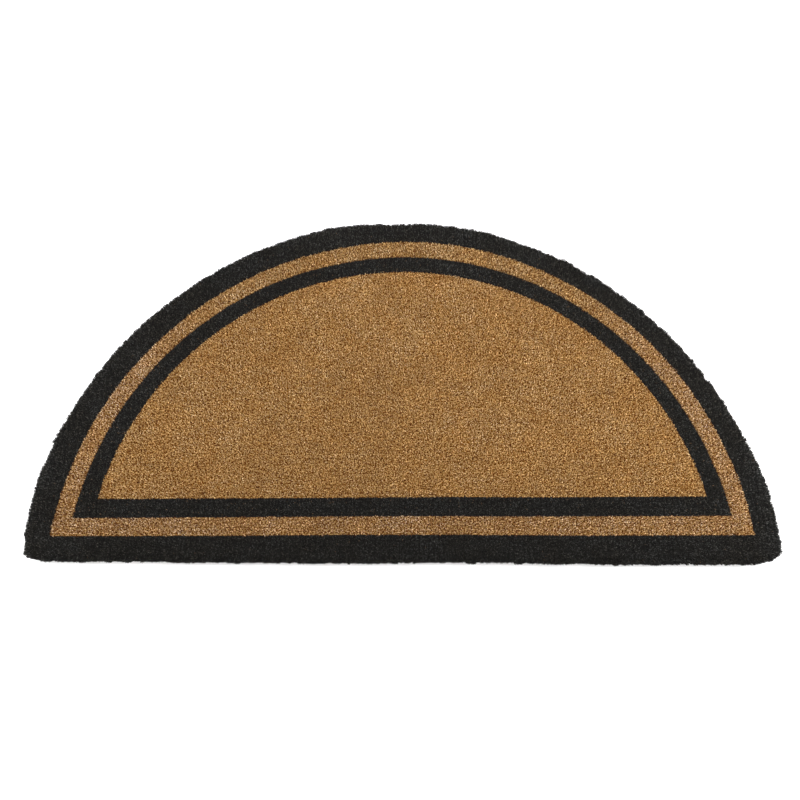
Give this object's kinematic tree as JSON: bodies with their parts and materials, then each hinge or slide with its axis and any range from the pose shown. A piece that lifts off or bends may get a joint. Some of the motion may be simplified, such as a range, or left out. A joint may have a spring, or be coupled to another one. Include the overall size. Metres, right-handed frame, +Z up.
{
  "type": "half round doormat",
  "caption": "Half round doormat of hand-woven coir with a dense cut brush pile, dyed in concentric black and natural brown bands.",
  "frame": {"origin": "centre of the bounding box at the underside, which lies on the ground", "axes": "+X along the straight front edge, +Y from that edge towards the top of the arc, +Z up out of the pile"},
  "size_m": [1.8334, 0.9432, 0.038],
  "materials": {
    "natural_coir": "undyed golden brown coir, mottled, with a dense matt cut pile",
    "black_coir": "coir dyed black in bands over the pile, matt"
  },
  "bodies": {
    "root": {"mat": "natural_coir"}
  },
  "joints": []
}
